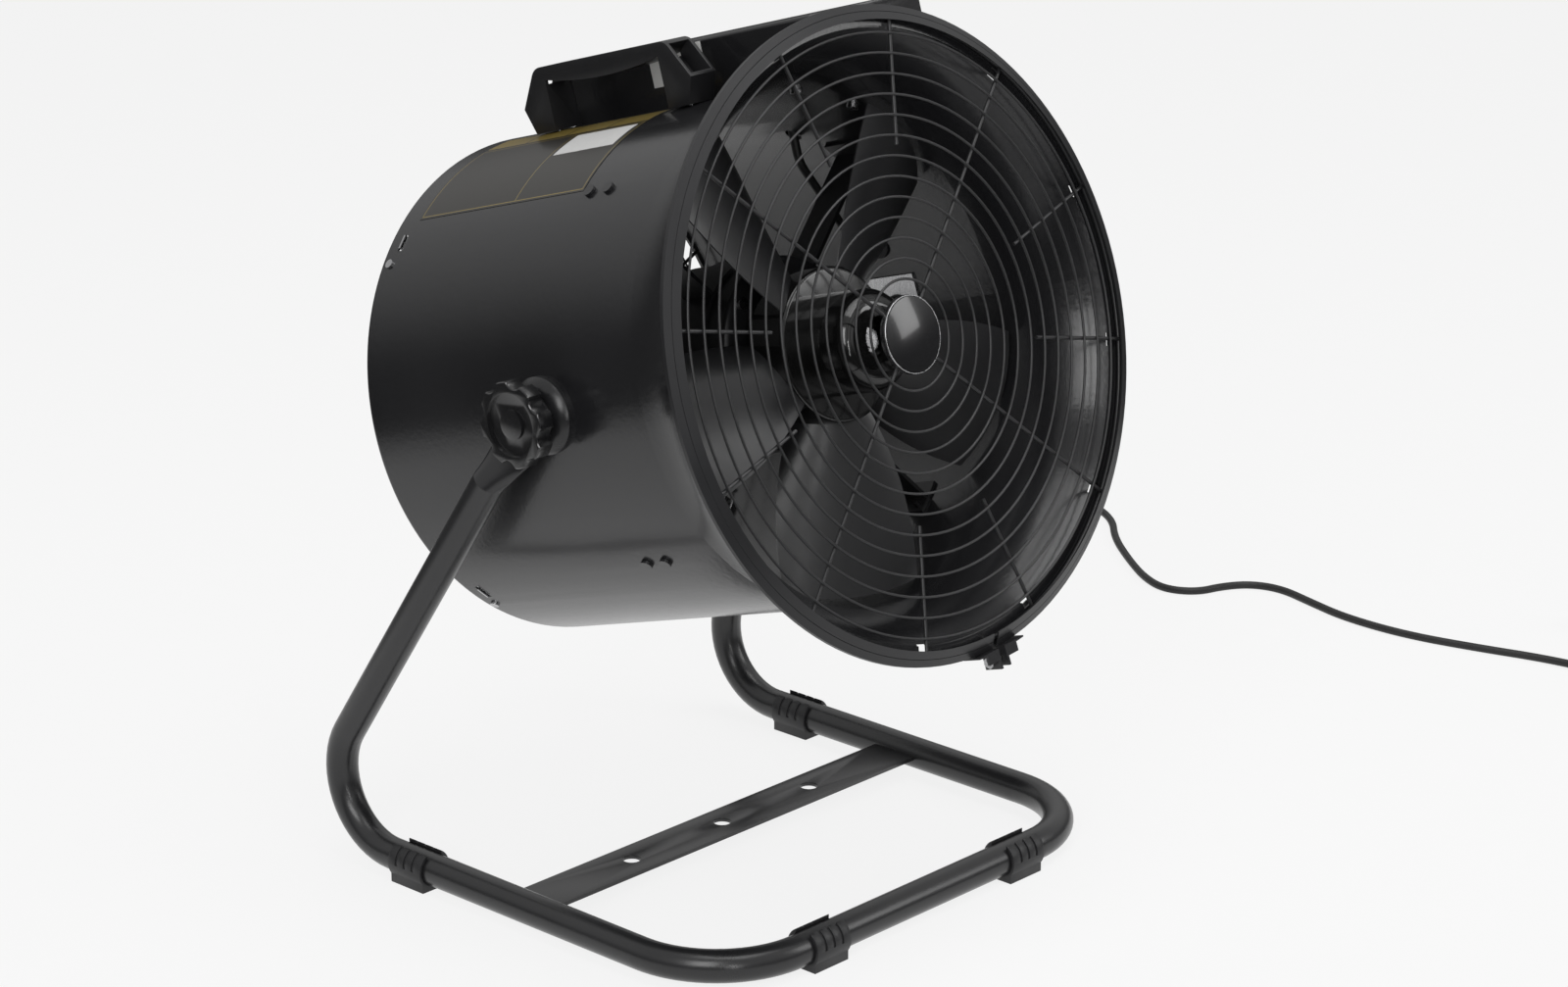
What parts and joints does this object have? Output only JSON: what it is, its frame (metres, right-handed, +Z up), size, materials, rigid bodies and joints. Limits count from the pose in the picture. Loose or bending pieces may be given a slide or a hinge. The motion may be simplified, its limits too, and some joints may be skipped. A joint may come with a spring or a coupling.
{
  "type": "stage effect fan",
  "caption": "Black floor-standing drum fan with wire guards, a tilting drum on a bent tube stand, a carrying handle and a control box on top.",
  "frame": {"origin": "middle of the fan's footprint on the floor, the cord left out", "axes": "+Z up, -Y the way the air leaves (front), +X to the right seen from the front"},
  "size_m": [1.1426, 0.8444, 0.6819],
  "materials": {
    "hammered_paint": "black hammered powder coat, semi-gloss",
    "stand_paint": "black textured powder coat, satin",
    "guard_paint": "dark satin coat",
    "band_paint": "black satin coat",
    "badge_face": "dark gloss",
    "hub_gloss": "black gloss",
    "blade_satin": "dark grey satin",
    "motor_paint": "black satin paint",
    "bright_steel": "zinc plated",
    "core_steel": "laminated electrical steel",
    "copper_wire": "enamelled copper",
    "handle_plastic": "black satin moulding",
    "knob_plastic": "black gloss moulding",
    "spacer_plastic": "dark grey moulding",
    "foot_plastic": "black ribbed moulding",
    "control_plastic": "black moulding",
    "board_green": "circuit board",
    "can_metal": "satin can",
    "cord_rubber": "black rubber sheath",
    "plug_plastic": "black moulded plug",
    "tie_plastic": "black strap"
  },
  "bodies": {
    "stand": {"stand_tube": "stand_paint", "cross_bar": "stand_paint", "front_feet": "foot_plastic", "rear_feet": "foot_plastic", "mains_cord": "cord_rubber", "cord_coil": "cord_rubber", "cord_tie": "tie_plastic", "plug_body": "plug_plastic", "plug_pins": "bright_steel"},
    "drum": {"drum_shell": "hammered_paint", "control_box": "hammered_paint", "control_panel": "hammered_paint", "clamp_band": "band_paint", "clamp_screw": "bright_steel", "clamp_nut": "bright_steel", "front_guard": "guard_paint", "rear_guard": "guard_paint", "guard_badge": "badge_face", "badge_backplate": "bright_steel", "rear_guard_clips": "bright_steel", "rear_guard_screws": "bright_steel", "motor_shell": "motor_paint", "motor_front_shield": "motor_paint", "motor_rear_shield": "motor_paint", "motor_bearings": "bright_steel", "stator_core": "core_steel", "stator_windings": "copper_wire", "motor_tie_bolts": "bright_steel", "motor_bracket": "motor_paint", "bracket_screws": "bright_steel", "box_screws": "bright_steel", "control_board": "board_green", "run_capacitor": "can_metal", "power_switch": "control_plastic", "speed_control": "control_plastic", "fuse_holder": "control_plastic", "carrying_handle": "handle_plastic", "handle_screws": "bright_steel", "cord_gland": "plug_plastic", "inner_lead": "cord_rubber", "pivot_spacer_left": "spacer_plastic", "pivot_spacer_right": "spacer_plastic", "pivot_plates": "bright_steel", "pivot_bolts": "bright_steel"},
    "rotor": {"fan_hub": "hub_gloss", "hub_nut": "bright_steel", "motor_shaft": "bright_steel", "rotor_core": "core_steel", "fan_blade_1": "blade_satin", "fan_blade_2": "blade_satin", "fan_blade_3": "blade_satin", "fan_blade_4": "blade_satin", "fan_blade_5": "blade_satin"},
    "knob_left": {"tilt_knob_left": "knob_plastic"},
    "knob_right": {"tilt_knob_right": "knob_plastic"},
    "rocker": {"switch_rocker": "control_plastic"},
    "dial": {"speed_dial": "knob_plastic"},
    "fuse_cap": {"fuse_cap": "knob_plastic"}
  },
  "joints": [
    {"name": "drum_tilt", "type": "hinge", "parent": "stand", "child": "drum", "pos_m": [0, 0.00794, 0.398], "axis": [-1, 0, 0], "range_deg": [-32, 56]},
    {"name": "rotor_spin", "type": "hinge", "parent": "drum", "child": "rotor", "pos_m": [0, 0.00794, 0.398], "axis": [0, -0.9563, 0.2924], "continuous": true},
    {"name": "knob_left_turn", "type": "hinge", "parent": "drum", "child": "knob_left", "pos_m": [-0.2073, 0.00794, 0.398], "axis": [-1, 0, 0], "range_deg": [0, 360]},
    {"name": "knob_right_turn", "type": "hinge", "parent": "drum", "child": "knob_right", "pos_m": [0.2073, 0.00794, 0.398], "axis": [1, 0, 0], "range_deg": [0, 360]},
    {"name": "switch_rock", "type": "hinge", "parent": "drum", "child": "rocker", "pos_m": [0.038, 0.19379, 0.5681], "axis": [-1, 0, 0], "range_deg": [0, 16]},
    {"name": "dial_turn", "type": "hinge", "parent": "drum", "child": "dial", "pos_m": [0.066, 0.1957, 0.56751], "axis": [0, -0.9563, 0.2924], "range_deg": [0, 270]},
    {"name": "fuse_cap_turn", "type": "hinge", "parent": "drum", "child": "fuse_cap", "pos_m": [0.032, -0.05862, 0.65572], "axis": [0, -0.9563, 0.2924], "range_deg": [0, 90]}
  ]
}
